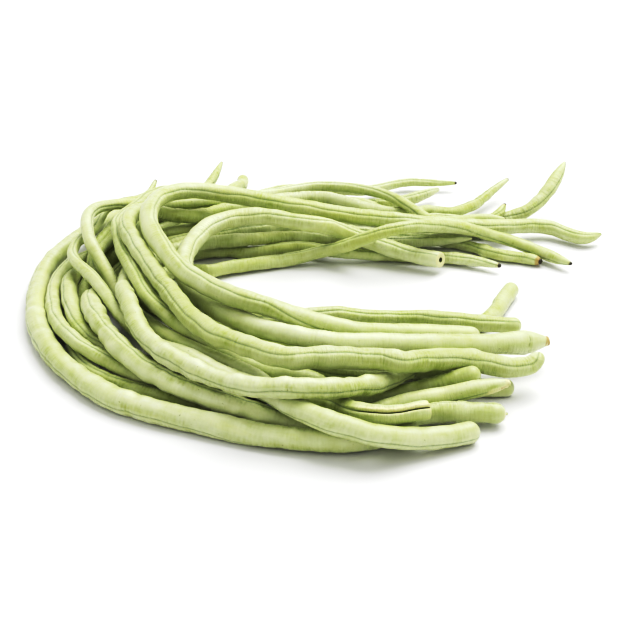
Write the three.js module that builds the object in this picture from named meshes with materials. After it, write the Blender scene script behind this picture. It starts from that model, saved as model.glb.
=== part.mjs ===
// A bunch of yardlong beans, bent round in a C and lying on a table. Millimetres, +Z up.
// Each pod is one solid. The two arms of the C point along +X and its bend is at -X.
import * as THREE from "three";

// Sizes of a pod.
const SEED_PITCH = 21; // from one seed's swelling to the next
const STATION = SEED_PITCH / 2; // a ring of the mesh at each swelling and at each neck between
const SWELL = 0.045; // how far a swelling stands over the mean radius, as a share of it
const SIDES = 8;
const STUB_RADIUS = 1.5; // the bit of stalk left on a pod
const STUB_LENGTH = 4;
const SHOULDER = 11; // the pod has its full girth this far behind its stalk end
const BEAK = 26; // the pod thins over this length to its tip
const CUT_WALL = 1.6; // rounding of an end that is broken or cut off square
const END_REACH = 4; // while pods settle, an end is as thick as the pod is this far in

// How the bunch is seen: a stop of a route is read off the picture and placed with these.
const PICTURE_SIDE = 625; // pixels
const FOCAL = (80 / 36) * PICTURE_SIDE; // pixels
const LOOKING_DOWN = THREE.MathUtils.degToRad(28);
const EYE_DISTANCE = 730;

// How the pods settle.
const GAP = 0.35; // clear space between two pods
const ROUNDS = 1200; // rounds in which the pods sag, bend and push each other apart
const CLEARING_ROUNDS = 500; // last rounds, in which the pull fades and they push clear of each other
const CLEARING_EASE = 0.12; // strength of the pull when those rounds begin
const SAG = 0.012; // drop of each point a round
const HOLD_SEEN = 0.5; // pull towards the line of sight where the pod shows
const HOLD_HIDDEN = 0.004; // the same where other pods cover it
const EASE_SEEN = 0.3; // how readily a pod that shows gives way, against one that is covered
const HOLD_HEIGHT = 0.004; // pull towards the stop's own place
const STIFFNESS = 0.25; // resistance to a change of bend
const FLAT = 0.15; // depth of the flat spot where a pod lies on the table

const hidden = true;

// The pods. A route runs from the stalk end, round the bend, to the tip. A stop is [across, down, height]:
// its place in the picture, in pixels, and the height of the pod's middle line over the table.
// girths are the pod's diameters, at even steps from its stalk end to its tip.
const PODS = [
  {
    name: "pod_top", // the highest, over the top of the bend
    girths: [10, 10, 9.8, 9.4, 8.8, 8.2],
    ends: ["blunt", "beak"],
    route: [
      [478, 336, 17, hidden], [450, 335, 19, hidden], [425, 334, 21], [402, 334, 23], [361, 332, 27],
      [341, 329, 30], [320, 325, 32], [286, 315, 34], [255, 305, 36], [224, 293, 37], [204, 283, 38],
      [184, 271, 39], [168, 256, 40], [156, 240, 41], [150, 226, 42], [149, 213, 42], [154, 203, 41],
      [165, 195, 40], [184, 191, 38], [205, 191, 36], [224, 194, 34], [245, 197, 32], [265, 201, 30],
      [290, 206, 28], [320, 210, 26], [341, 214, 24], [371, 218, 22], [402, 221, 20], [430, 224, 17],
      [455, 226, 14], [480, 227, 11], [504, 227, 9], [535, 226, 7], [555, 229, 6], [570, 235, 5],
      [582, 238, 5], [601, 234, 6],
    ],
  },
  {
    name: "pod_pale", // fat and pale, under the highest
    girths: [9.8, 10.4, 10.8, 10.6, 9.2, 9.2],
    ends: ["stalk", "cut"],
    route: [
      [549, 341, 14], [535, 342, 14], [514, 343, 16], [495, 344, 18], [470, 345, 20], [443, 345, 22],
      [402, 345, 24], [360, 344, 26], [340, 343, 26], [320, 340, 26], [296, 336, 26], [269, 329, 26],
      [242, 320, 26], [225, 313, 25], [211, 305, 24], [198, 295, 23], [189, 285, 22],
      [184, 275, 21, hidden], [183, 265, 21], [185, 255, 22], [191, 245, 23], [201, 233, 24],
      [216, 223, 25], [236, 218, 26], [257, 216, 27], [277, 218, 27], [298, 222, 26], [320, 225, 25],
      [341, 231, 19], [361, 238, 15], [382, 246, 11], [402, 252, 9], [422, 257, 8], [441, 260, 8],
    ],
  },
  {
    name: "pod_curled", // its stalk end curls up
    girths: [10.8, 10.8, 9.8, 8.4, 7, 5.8],
    ends: ["blunt", "beak"],
    route: [
      [544, 364, 15], [536, 370, 14], [520, 371, 14], [505, 367, 16], [484, 363, 17], [463, 360, 18],
      [443, 360, 19], [420, 362, 21], [400, 364, 23], [382, 362, 23], [360, 360, 24], [340, 358, 26],
      [320, 357, 27], [296, 358, 28], [278, 356, 28], [260, 350, 28], [242, 344, 28], [220, 336, 28],
      [202, 326, 28], [187, 314, 28], [173, 297, 29], [161, 281, 30], [151, 268, 31], [140, 253, 32],
      [131, 239, 33], [127, 227, 34], [130, 218, 34], [138, 213, 32], [150, 211, 28, hidden],
      [160, 213, 24], [176, 215, 21], [196, 216, 18], [215, 212, 15, hidden], [240, 208, 13, hidden],
      [265, 203, 12, hidden], [285, 199, 12], [300, 198, 12], [315, 197, 12], [330, 198, 12],
      [345, 201, 11], [365, 206, 10, hidden], [390, 212, 9, hidden], [415, 218, 8, hidden],
      [433, 215, 6], [447, 214, 6], [463, 209, 7], [478, 202, 8], [492, 191, 10], [508, 179, 13],
    ],
  },
  {
    name: "pod_slim_left",
    girths: [8.8, 8.6, 7.4, 7, 6.2, 5.2],
    ends: ["blunt", "beak"],
    route: [
      [480, 373, 14], [465, 375, 13], [445, 381, 9], [425, 387, 6], [405, 392, 5], [380, 396, 5],
      [355, 399, 5], [335, 397, 7, hidden], [315, 391, 11, hidden], [300, 386, 14, hidden],
      [287, 380, 17], [269, 373, 17], [251, 364, 18], [233, 354, 19], [215, 345, 21], [198, 335, 22],
      [180, 325, 24], [165, 312, 26], [153, 303, 27], [142, 291, 28], [134, 277, 29], [128, 262, 30],
      [122, 248, 31], [119, 236, 31], [118, 224, 31], [126, 214, 30], [137, 208, 28],
      [150, 203, 25, hidden], [170, 200, 22, hidden], [195, 199, 18, hidden], [225, 197, 16, hidden],
      [255, 195, 12, hidden], [290, 192, 9, hidden], [330, 191, 7, hidden], [360, 191, 6, hidden],
      [375, 189, 6], [392, 185, 6], [412, 182, 6], [433, 183, 6], [457, 183, 6],
    ],
  },
  {
    name: "pod_arch", // arches high over the back of the bend
    girths: [8.4, 7.8, 7, 6.8, 6.4, 6.2, 6],
    ends: ["stalk", "beak"],
    route: [
      [512, 382, 11], [490, 384, 11], [470, 390, 9], [450, 395, 7], [430, 398, 8],
      [405, 402, 6, hidden], [380, 405, 4, hidden], [355, 406, 4, hidden], [335, 402, 6, hidden],
      [315, 396, 9, hidden], [290, 389, 14, hidden], [270, 382, 18], [250, 373, 20], [233, 367, 20],
      [215, 359, 20], [198, 352, 19], [180, 343, 18], [165, 334, 17], [152, 325, 15],
      [142, 314, 14, hidden], [133, 301, 14, hidden], [121, 284, 17], [112, 273, 21], [103, 262, 24],
      [94, 250, 28], [89, 239, 31], [87, 228, 32], [87, 218, 33], [93, 210, 33], [104, 206, 31],
      [120, 204, 28], [140, 203, 25], [155, 203, 23, hidden], [170, 204, 22, hidden], [185, 204, 21],
      [201, 203, 21], [215, 204, 20], [230, 202, 18, hidden], [250, 200, 17, hidden],
      [265, 197, 16, hidden], [277, 194, 15], [293, 190, 15], [308, 187, 15], [326, 186, 15],
      [351, 188, 15], [371, 191, 16], [388, 196, 17], [402, 203, 18], [416, 211, 19], [430, 219, 18],
      [445, 221, 16], [465, 220, 13], [485, 219, 11], [506, 220, 9],
    ],
  },
  {
    name: "pod_thin", // thin at the back of the bend and thick at the front
    girths: [10.2, 10, 8.2, 6.4, 5.6, 4.6],
    ends: ["blunt", "beak"],
    route: [
      [479, 431, 5], [455, 435, 6], [430, 438, 7], [410, 438, 9], [390, 437, 12], [370, 434, 14],
      [350, 428, 15], [330, 421, 17], [310, 412, 18], [290, 404, 17], [272, 398, 14],
      [258, 392, 13, hidden], [240, 388, 12, hidden], [220, 383, 12, hidden], [200, 375, 12, hidden],
      [180, 366, 12, hidden], [160, 355, 13, hidden], [145, 343, 14, hidden], [137, 335, 15, hidden],
      [130, 328, 17], [123, 318, 18], [115, 307, 19], [108, 297, 20], [100, 286, 21], [89, 274, 22],
      [78, 264, 23], [73, 257, 23], [73, 250, 23], [78, 242, 22], [85, 235, 20, hidden], [93, 230, 19],
      [99, 221, 20], [104, 212, 22], [110, 206, 23, hidden], [122, 202, 24, hidden],
      [135, 200, 24, hidden], [145, 196, 25, hidden], [151, 190, 25], [156, 180, 29],
    ],
  },
  {
    name: "pod_seamed", // lies across the front of the bend with its seam in view
    girths: [8.8, 9.6, 9.4, 7.4, 6.4],
    ends: ["blunt", "beak"],
    route: [
      [416, 371, 9, hidden], [406, 374, 11, hidden], [393, 377, 13], [380, 381, 14], [370, 384, 17],
      [345, 390, 20], [320, 392, 22], [292, 391, 24], [270, 389, 24], [251, 387, 23], [233, 383, 22],
      [215, 378, 21], [198, 371, 21], [180, 362, 21], [165, 354, 21], [153, 344, 21], [142, 332, 21],
      [136, 321, 23], [131, 309, 24], [128, 298, 24], [126, 287, 21], [128, 276, 16],
      [135, 264, 11, hidden], [150, 254, 9, hidden], [175, 248, 10, hidden], [210, 244, 9, hidden],
      [241, 242, 9], [262, 240, 9], [282, 238, 9], [303, 239, 9], [330, 240, 8], [365, 242, 7, hidden],
      [395, 243, 7, hidden], [414, 242, 7], [443, 240, 7], [473, 238, 8],
    ],
  },
  {
    name: "pod_knobbly", // thick, with the deepest swellings
    girths: [9.8, 10, 10.2, 9.4, 7.4, 6.8],
    ends: ["blunt", "blunt"],
    route: [
      [509, 414, 5], [490, 413, 5], [460, 412, 5], [430, 412, 5], [400, 414, 5, hidden],
      [370, 419, 5, hidden], [340, 425, 5, hidden], [315, 424, 6, hidden], [292, 420, 8], [280, 417, 9],
      [269, 414, 11], [251, 410, 12], [233, 405, 12], [215, 400, 12], [198, 393, 13], [176, 384, 14],
      [158, 375, 14], [140, 365, 15], [125, 354, 16], [112, 342, 16], [101, 328, 16], [93, 314, 16],
      [89, 302, 15], [92, 291, 12], [98, 281, 9, hidden], [108, 273, 8, hidden], [120, 268, 10],
      [140, 260, 10, hidden], [165, 252, 10, hidden], [185, 245, 10, hidden], [210, 239, 10],
      [231, 234, 10], [252, 231, 10], [272, 228, 10], [300, 227, 10, hidden], [340, 229, 10, hidden],
      [380, 232, 9, hidden], [410, 236, 7, hidden], [440, 240, 6, hidden], [463, 244, 5], [478, 249, 5],
      [504, 256, 5], [524, 258, 5], [543, 262, 5],
    ],
  },
  {
    name: "pod_split", // its end has split along the seam
    girths: [9.2, 9, 8.6, 8.4, 7, 6.4],
    ends: ["cut", "beak"],
    route: [
      [428, 410, 12], [410, 415, 13], [390, 417, 13], [365, 415, 13], [340, 409, 9], [320, 402, 7],
      [300, 399, 6, hidden], [270, 399, 5, hidden], [240, 397, 5, hidden], [210, 390, 5, hidden],
      [180, 380, 5, hidden], [155, 371, 6, hidden], [127, 361, 8], [112, 352, 9], [100, 343, 10],
      [89, 335, 10], [80, 325, 12], [74, 313, 12], [71, 298, 12], [72, 283, 12], [76, 272, 12, hidden],
      [84, 263, 11, hidden], [95, 260, 10, hidden], [106, 261, 10], [118, 256, 10],
      [135, 249, 10, hidden], [155, 241, 10, hidden], [170, 236, 11], [180, 233, 11], [195, 227, 11],
      [215, 222, 11, hidden], [240, 218, 11, hidden], [280, 215, 10, hidden], [330, 216, 9, hidden],
      [380, 217, 8, hidden], [430, 219, 7, hidden], [470, 222, 7, hidden], [490, 221, 7], [498, 215, 9],
      [505, 205, 12],
    ],
  },
  {
    name: "pod_raised_tip", // its long tip lifts at the far right
    girths: [8.6, 8, 7.8, 7.6, 7.4, 8.4],
    ends: ["blunt", "beak"],
    route: [
      [514, 388, 4], [495, 390, 4], [470, 386, 4, hidden], [450, 379, 4, hidden], [430, 373, 4, hidden],
      [400, 371, 4, hidden], [370, 371, 4, hidden], [340, 373, 4, hidden], [310, 376, 4, hidden],
      [280, 383, 4, hidden], [250, 389, 4, hidden], [225, 392, 4, hidden], [200, 392, 4, hidden],
      [180, 389, 4, hidden], [165, 385, 5], [145, 379, 6], [123, 370, 7], [104, 362, 8], [89, 354, 9],
      [74, 343, 9], [62, 330, 9], [54, 317, 9], [52, 302, 9], [54, 287, 9], [62, 272, 9],
      [72, 262, 9, hidden], [85, 256, 9, hidden], [100, 251, 9], [112, 246, 9], [130, 240, 10, hidden],
      [150, 233, 10, hidden], [165, 228, 10], [180, 224, 11], [195, 220, 11], [220, 217, 8, hidden],
      [260, 214, 5, hidden], [310, 214, 5, hidden], [360, 218, 5, hidden], [410, 222, 5, hidden],
      [460, 221, 6, hidden], [496, 220, 7], [514, 215, 10], [529, 209, 13], [543, 197, 18],
      [553, 183, 24], [565, 162, 32],
    ],
  },
  {
    name: "pod_outer", // the outermost, all the way round on the table
    girths: [10.4, 11.4, 11, 9.4, 7.8, 7],
    ends: ["blunt", "beak"],
    route: [
      [418, 425, 5], [402, 429, 5], [384, 433, 5, hidden], [366, 437, 5], [345, 440, 5], [320, 440, 5],
      [290, 438, 5], [260, 434, 5], [233, 429, 5], [200, 422, 5], [167, 415, 5], [140, 408, 5],
      [114, 399, 5], [96, 389, 5], [78, 376, 5], [60, 362, 5], [48, 347, 5], [41, 332, 5], [37, 317, 5],
      [36, 302, 5], [38, 287, 5], [44, 271, 6], [55, 257, 8], [70, 244, 10], [84, 233, 11, hidden],
      [97, 224, 10, hidden], [110, 216, 8, hidden], [125, 209, 6, hidden], [145, 204, 5, hidden],
      [170, 200, 5, hidden], [200, 198, 5, hidden], [240, 198, 5, hidden], [280, 199, 5, hidden],
      [310, 201, 5, hidden], [340, 203, 6, hidden], [365, 205, 7], [392, 203, 7], [414, 198, 7],
      [439, 189, 8],
    ],
  },
  {
    name: "pod_shaded", // in the shade behind the outermost
    girths: [7.4, 7.4, 7.2, 7],
    ends: ["stalk", "cut"],
    route: [
      [285, 413, 4, hidden], [272, 416, 4, hidden], [260, 419, 4], [233, 413, 5], [207, 406, 5],
      [180, 401, 5], [158, 395, 5], [140, 390, 5], [122, 384, 5], [105, 377, 5], [87, 367, 5],
      [76, 357, 5], [73, 342, 5, hidden], [74, 326, 5, hidden], [74, 312, 5, hidden],
      [76, 298, 5, hidden], [80, 288, 5, hidden], [88, 278, 5, hidden], [100, 270, 5, hidden],
      [120, 260, 5, hidden], [150, 248, 5, hidden], [170, 237, 6, hidden], [185, 230, 10, hidden],
      [195, 222, 14], [206, 213, 17], [217, 206, 18], [228, 199, 17, hidden], [238, 192, 14, hidden],
      [242, 186, 12], [243, 178, 12],
    ],
  },
  {
    name: "pod_inner", // the innermost, on the table
    girths: [8.4, 8, 7.4, 7, 7],
    ends: ["blunt", "beak"],
    route: [
      [521, 326, 10], [500, 325, 11], [480, 323, 12], [450, 320, 14], [420, 318, 15], [390, 318, 16],
      [360, 317, 18], [330, 314, 20], [300, 317, 18, hidden], [275, 320, 14, hidden], [258, 318, 11],
      [242, 312, 9], [225, 305, 7, hidden], [205, 300, 6, hidden], [180, 297, 5, hidden],
      [160, 291, 5, hidden], [150, 283, 5, hidden], [156, 276, 5, hidden], [172, 272, 5, hidden],
      [190, 270, 5, hidden], [209, 271, 5], [231, 267, 5], [262, 263, 5], [292, 259, 5], [320, 252, 8],
      [345, 246, 14], [361, 240, 20], [380, 233, 24], [392, 230, 26], [408, 227, 26], [422, 226, 25],
      [437, 226, 22], [453, 227, 18], [470, 230, 14], [484, 234, 11], [500, 238, 9], [514, 242, 7],
      [530, 248, 6], [545, 254, 5], [558, 259, 5], [572, 264, 5],
    ],
  },
  {
    name: "pod_back_end", // its stalk end points back, behind the front arm
    girths: [8.8, 7, 6.8, 6.8],
    ends: ["blunt", "beak"],
    route: [
      [513, 287, 5], [507, 295, 5], [500, 305, 5], [492, 316, 5], [475, 325, 5, hidden],
      [440, 329, 5, hidden], [400, 330, 5, hidden], [350, 330, 5, hidden], [300, 330, 5, hidden],
      [250, 327, 5, hidden], [200, 318, 5, hidden], [160, 306, 5, hidden], [140, 292, 5, hidden],
      [136, 280, 5, hidden], [145, 268, 5, hidden], [165, 258, 5, hidden], [185, 252, 5, hidden],
      [204, 250, 6], [231, 250, 6], [257, 251, 6], [282, 248, 6], [300, 247, 5], [330, 251, 5],
      [365, 254, 5], [402, 256, 5], [425, 257, 5, hidden], [450, 258, 5], [475, 261, 5], [501, 266, 5],
    ],
  },
  {
    name: "pod_deep", // deep in the heap
    girths: [7.8, 7.4, 6.6, 6],
    ends: ["blunt", "beak"],
    route: [
      [390, 378, 4, hidden], [375, 378, 4, hidden], [340, 375, 5], [300, 369, 8],
      [260, 358, 12, hidden], [230, 345, 14, hidden], [200, 329, 14, hidden], [178, 314, 15, hidden],
      [166, 303, 16], [155, 291, 17], [147, 279, 18], [140, 263, 19], [136, 250, 18, hidden],
      [136, 238, 18, hidden], [140, 228, 18, hidden], [150, 218, 17, hidden], [168, 208, 15, hidden],
      [185, 202, 13, hidden], [198, 196, 12, hidden], [207, 187, 12, hidden], [214, 177, 14],
      [222, 162, 18],
    ],
  },
  {
    name: "pod_middle",
    girths: [6.6, 6.4, 6.4],
    ends: ["stalk", "beak"],
    route: [
      [300, 380, 5, hidden], [270, 379, 5, hidden], [240, 380, 5, hidden], [200, 378, 5, hidden],
      [160, 369, 6, hidden], [130, 360, 7, hidden], [108, 348, 8, hidden], [93, 332, 9, hidden],
      [85, 317, 10], [81, 303, 11], [81, 290, 12], [85, 278, 13, hidden], [92, 264, 14, hidden],
      [97, 249, 15], [105, 237, 16], [114, 225, 17], [122, 217, 18], [131, 212, 18],
      [142, 208, 16, hidden], [160, 206, 13, hidden], [190, 208, 10, hidden], [230, 210, 8, hidden],
      [280, 208, 7, hidden], [330, 208, 6, hidden], [380, 212, 6, hidden], [420, 222, 6, hidden],
      [450, 229, 7, hidden], [485, 230, 8], [504, 229, 9],
    ],
  },
  {
    name: "pod_under",
    girths: [6.4, 6.4, 6.2],
    ends: ["blunt", "beak"],
    route: [
      [400, 355, 6, hidden], [370, 356, 6, hidden], [340, 357, 7, hidden], [300, 358, 8, hidden],
      [260, 357, 9, hidden], [225, 353, 9, hidden], [195, 348, 10, hidden], [165, 336, 10, hidden],
      [140, 320, 10, hidden], [122, 302, 10, hidden], [108, 285, 11], [97, 273, 12],
      [96, 262, 13, hidden], [103, 250, 14], [112, 238, 15], [120, 228, 16], [128, 220, 16, hidden],
      [142, 215, 15, hidden], [165, 212, 13, hidden], [195, 212, 10, hidden], [230, 214, 7, hidden],
      [270, 215, 6, hidden], [320, 220, 6, hidden],
    ],
  },
];

// The eye, and the place of a point of the picture at a given height.
const forward = new THREE.Vector3(0, Math.cos(LOOKING_DOWN), -Math.sin(LOOKING_DOWN));
const upward = new THREE.Vector3(0, Math.sin(LOOKING_DOWN), Math.cos(LOOKING_DOWN));
const eye = forward.clone().multiplyScalar(-EYE_DISTANCE);

function place([across, down, height]) {
  const ray = forward
    .clone()
    .multiplyScalar(FOCAL)
    .addScaledVector(new THREE.Vector3(1, 0, 0), across - PICTURE_SIDE / 2)
    .addScaledVector(upward, PICTURE_SIDE / 2 - down);
  return eye.clone().addScaledVector(ray, (height - eye.z) / ray.z);
}

// A pod's half thickness at a share of its length, between its girths, which are evenly spaced along it.
function meanRadius(girths, share) {
  const step = share * (girths.length - 1);
  const k = Math.min(girths.length - 2, Math.floor(step));
  return THREE.MathUtils.lerp(girths[k], girths[k + 1], step - k) / 2;
}

// From 0 up to 1 along a quarter of a sine wave.
const rise = (share) => Math.sin((Math.PI / 2) * Math.min(1, share));

// How full the pod is at a distance from one of its ends, from 0 to 1.
const FULLNESS = {
  stalk: (d) => (d < STUB_LENGTH ? STUB_RADIUS / 5 : 0.42 + 0.58 * rise((d - STUB_LENGTH) / SHOULDER)),
  blunt: (d) => 0.45 + 0.55 * Math.sqrt(Math.min(1, d / 7)),
  cut: (d) => 0.86 + 0.14 * Math.min(1, d / CUT_WALL),
  beak: (d) => 0.34 + 0.66 * rise(d / BEAK),
};

function radiusAt(pod, length, s) {
  const swelling = 1 + SWELL * Math.cos((2 * Math.PI * s) / SEED_PITCH);
  const full = FULLNESS[pod.ends[0]](s) * FULLNESS[pod.ends[1]](length - s);
  return meanRadius(pod.girths, s / length) * swelling * full;
}

// A chain of points along a pod, one station apart, with the route's own line to hold to.
function chainOf(pod) {
  const stops = pod.route.map(place);
  const curve = new THREE.CatmullRomCurve3(stops, false, "centripetal");
  curve.arcLengthDivisions = 2000;
  const count = Math.round(curve.getLength() / STATION);
  const length = count * STATION;
  const guide = [];
  const hold = [];
  for (let i = 0; i <= count; i++) {
    const share = i / count;
    guide.push(curve.getPointAt(share));
    const stop = Math.round(curve.getUtoTmapping(share) * (stops.length - 1));
    hold.push(pod.route[stop][3] ? HOLD_HIDDEN : HOLD_SEEN);
  }
  const radii = guide.map((_, i) =>
    radiusAt(pod, length, THREE.MathUtils.clamp(i * STATION, END_REACH, length - END_REACH)),
  );
  const sight = guide.map((g) => g.clone().sub(eye).normalize());
  const ease = hold.map((pull) => (pull === HOLD_SEEN ? EASE_SEEN : 1));
  return { pod, length, guide, hold, ease, radii, sight, points: guide.map((g) => g.clone()) };
}

const offset = new THREE.Vector3();
const along = new THREE.Vector3();

// Each point sags, and is drawn weakly to its stop.
function sag(chain) {
  chain.points.forEach((p, i) => {
    p.z -= SAG;
    p.addScaledVector(offset.subVectors(chain.guide[i], p), HOLD_HEIGHT);
  });
}

// Each point is drawn back to its line of sight.
function holdToSight(chain, strength) {
  chain.points.forEach((p, i) => {
    offset.subVectors(chain.guide[i], p);
    along.copy(chain.sight[i]).multiplyScalar(offset.dot(chain.sight[i]));
    p.addScaledVector(offset.sub(along), strength * chain.hold[i]);
  });
}

// Neighbouring points keep their distance.
function keepLength(chain) {
  for (let i = 1; i < chain.points.length; i++) {
    const [a, b] = [chain.points[i - 1], chain.points[i]];
    offset.subVectors(b, a);
    const share = (0.5 * (offset.length() - STATION)) / offset.length();
    a.addScaledVector(offset, share);
    b.addScaledVector(offset, -share);
  }
}

// Each point keeps the bend that the route has there.
function keepBend(chain, stiffness) {
  const { points, guide } = chain;
  for (let i = 1; i < points.length - 1; i++) {
    offset.addVectors(points[i - 1], points[i + 1]).multiplyScalar(0.5).sub(points[i]);
    along.addVectors(guide[i - 1], guide[i + 1]).multiplyScalar(0.5).sub(guide[i]);
    offset.sub(along).multiplyScalar(stiffness);
    points[i].addScaledVector(offset, 0.5);
    points[i - 1].addScaledVector(offset, -0.25);
    points[i + 1].addScaledVector(offset, -0.25);
  }
}

// Shares along two segments, from 0 to 1, of their points nearest to each other.
function nearest(a, b, c, d) {
  const u = new THREE.Vector3().subVectors(b, a);
  const v = new THREE.Vector3().subVectors(d, c);
  const w = new THREE.Vector3().subVectors(a, c);
  const [uu, uv, vv, uw, vw] = [u.dot(u), u.dot(v), v.dot(v), u.dot(w), v.dot(w)];
  const determinant = uu * vv - uv * uv;
  const clamp = (x) => Math.min(1, Math.max(0, x));
  let s = determinant > 1e-9 * uu * vv ? clamp((uv * vw - vv * uw) / determinant) : 0.5;
  const t = clamp((uv * s + vw) / vv);
  s = clamp((uv * t - uw) / uu);
  return [s, t];
}

// The pairs of segments of different pods that are near enough to touch.
function nearPairs(chains, reach) {
  const cells = new Map();
  const cell = (x, y) => `${x},${y}`;
  const pairs = [];
  chains.forEach((chain, c) => {
    for (let i = 0; i < chain.points.length - 1; i++) {
      const x = Math.floor(chain.points[i].x / reach);
      const y = Math.floor(chain.points[i].y / reach);
      for (let dx = -1; dx <= 1; dx++)
        for (let dy = -1; dy <= 1; dy++)
          for (const [other, j] of cells.get(cell(x + dx, y + dy)) ?? [])
            if (other !== c && Math.abs(chains[other].points[j].z - chain.points[i].z) < reach)
              pairs.push([c, i, other, j]);
      const key = cell(x, y);
      if (!cells.has(key)) cells.set(key, []);
      cells.get(key).push([c, i]);
    }
  });
  return pairs;
}

// Two segments that are too close are moved apart along the line between their nearest points.
function pushApart(chains, pairs) {
  let deepest = 0;
  for (const [c, i, other, j] of pairs) {
    const [p, q] = [chains[c], chains[other]];
    const [a, b, d, e] = [p.points[i], p.points[i + 1], q.points[j], q.points[j + 1]];
    const [s, t] = nearest(a, b, d, e);
    offset.copy(a).lerp(b, s);
    along.copy(d).lerp(e, t);
    offset.sub(along);
    const distance = offset.length();
    const room =
      THREE.MathUtils.lerp(p.radii[i], p.radii[i + 1], s) +
      THREE.MathUtils.lerp(q.radii[j], q.radii[j + 1], t) +
      GAP;
    if (distance >= room) continue;
    deepest = Math.max(deepest, room - distance);
    offset.multiplyScalar(1 / Math.max(distance, 1e-6));
    const [easeP, easeQ] = [p.ease[i], q.ease[j]];
    const shares = easeP * ((1 - s) ** 2 + s ** 2) + easeQ * ((1 - t) ** 2 + t ** 2);
    const push = (room - distance) / shares;
    a.addScaledVector(offset, push * easeP * (1 - s));
    b.addScaledVector(offset, push * easeP * s);
    d.addScaledVector(offset, -push * easeQ * (1 - t));
    e.addScaledVector(offset, -push * easeQ * t);
  }
  return deepest;
}

// No point lies lower than its own half thickness, less the flat spot.
function keepAboveTable(chain) {
  chain.points.forEach((p, i) => {
    p.z = Math.max(p.z, chain.radii[i] * Math.cos(Math.PI / SIDES) - FLAT);
  });
}

function settle(chains) {
  const reach = STATION + 14;
  let pairs = [];
  let deepest = 0;
  for (let round = 0; round < ROUNDS + CLEARING_ROUNDS; round++) {
    const cleared = (round - ROUNDS) / CLEARING_ROUNDS;
    const ease = cleared < 0 ? 1 : CLEARING_EASE * (1 - cleared);
    if (round % 10 === 0) pairs = nearPairs(chains, reach);
    for (const chain of chains) {
      if (cleared < 0) sag(chain);
      holdToSight(chain, ease);
      keepLength(chain);
      keepBend(chain, STIFFNESS * Math.max(ease, CLEARING_EASE));
    }
    deepest = pushApart(chains, pairs);
    chains.forEach(keepAboveTable);
  }
  return deepest;
}

// The distances from the stalk end at which the mesh has a ring.
function ringsOf(chain) {
  const near = {
    stalk: [0.4, STUB_LENGTH, STUB_LENGTH + 1.5, 8],
    blunt: [0.5, 2.5, 6],
    cut: [0.3, 3],
    beak: [0.5, 5],
  };
  const inner = chain.points.slice(1, -1).map((_, i) => (i + 1) * STATION);
  return [
    ...near[chain.pod.ends[0]],
    ...inner,
    ...near[chain.pod.ends[1]].map((d) => chain.length - d).reverse(),
  ];
}

// The pod's solid: a straight pod is turned on a lathe, then bent along its chain.
function podGeometry(chain) {
  const { pod, points, length } = chain;
  const profile = ringsOf(chain).map((s) => new THREE.Vector2(radiusAt(pod, length, s), s));
  profile.unshift(new THREE.Vector2(0, 0));
  profile.push(new THREE.Vector2(0, length));
  const geometry = new THREE.LatheGeometry(profile, SIDES, Math.PI / SIDES);
  const position = geometry.getAttribute("position");
  const tangent = new THREE.Vector3();
  const sideways = new THREE.Vector3();
  const under = new THREE.Vector3();
  for (let k = 0; k < position.count; k++) {
    const s = position.getY(k);
    const i = Math.min(points.length - 2, Math.floor(s / STATION));
    const centre = points[i].clone().lerp(points[i + 1], s / STATION - i);
    const n = Math.round(s / STATION);
    tangent.subVectors(points[Math.min(points.length - 1, n + 1)], points[Math.max(0, n - 1)]).normalize();
    sideways.set(0, 0, 1).cross(tangent).normalize();
    under.crossVectors(sideways, tangent);
    centre.addScaledVector(sideways, position.getX(k)).addScaledVector(under, position.getZ(k));
    position.setXYZ(k, centre.x, centre.y, Math.max(0, centre.z));
  }
  geometry.computeVertexNormals();
  return geometry;
}

// Each pod has its own skin, a little paler or deeper than the next.
function skinOf(pod, k) {
  const skin = new THREE.Color(0xb9cf7e).offsetHSL(0.006 * Math.sin(2.4 * k), 0, 0.03 * Math.cos(1.7 * k));
  const name = `${pod.name}_skin`;
  return new THREE.MeshStandardMaterial({ name, color: skin, roughness: 0.5, metalness: 0 });
}

const chains = PODS.map(chainOf);
settle(chains);

const bunch = new THREE.Group();
chains.forEach((chain, k) => {
  const mesh = new THREE.Mesh(podGeometry(chain), skinOf(chain.pod, k));
  mesh.name = chain.pod.name;
  bunch.add(mesh);
});

// The origin is on the table, under the middle of the bunch's box.
const middle = new THREE.Box3().setFromObject(bunch).getCenter(new THREE.Vector3());
bunch.children.forEach((mesh) => mesh.geometry.translate(-middle.x, -middle.y, 0));

export default bunch;
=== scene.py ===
"""The looks of a bunch of yardlong beans lying on a pale table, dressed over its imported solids.

Metres, in the part's own frame: +Z up, the table at z = 0, the arms of the C along +X, stalk ends at -Y.
Each pod's middle line and girth come from its own solid. The skin over it is worked out here.
"""

import bpy
import numpy as np
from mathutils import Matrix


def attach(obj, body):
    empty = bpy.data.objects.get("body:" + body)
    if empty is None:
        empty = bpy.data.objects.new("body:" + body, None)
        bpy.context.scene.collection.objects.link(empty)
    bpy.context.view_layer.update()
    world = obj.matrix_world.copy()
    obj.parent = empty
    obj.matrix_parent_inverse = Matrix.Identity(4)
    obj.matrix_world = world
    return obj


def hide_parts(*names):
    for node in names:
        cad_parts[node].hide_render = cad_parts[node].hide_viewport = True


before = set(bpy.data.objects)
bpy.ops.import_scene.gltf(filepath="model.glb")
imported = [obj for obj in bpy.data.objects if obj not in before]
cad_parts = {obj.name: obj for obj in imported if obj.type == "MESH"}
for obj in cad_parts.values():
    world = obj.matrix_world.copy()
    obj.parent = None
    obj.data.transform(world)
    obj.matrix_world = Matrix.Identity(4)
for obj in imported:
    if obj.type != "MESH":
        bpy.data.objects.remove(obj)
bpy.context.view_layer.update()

MM = 0.001

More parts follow.
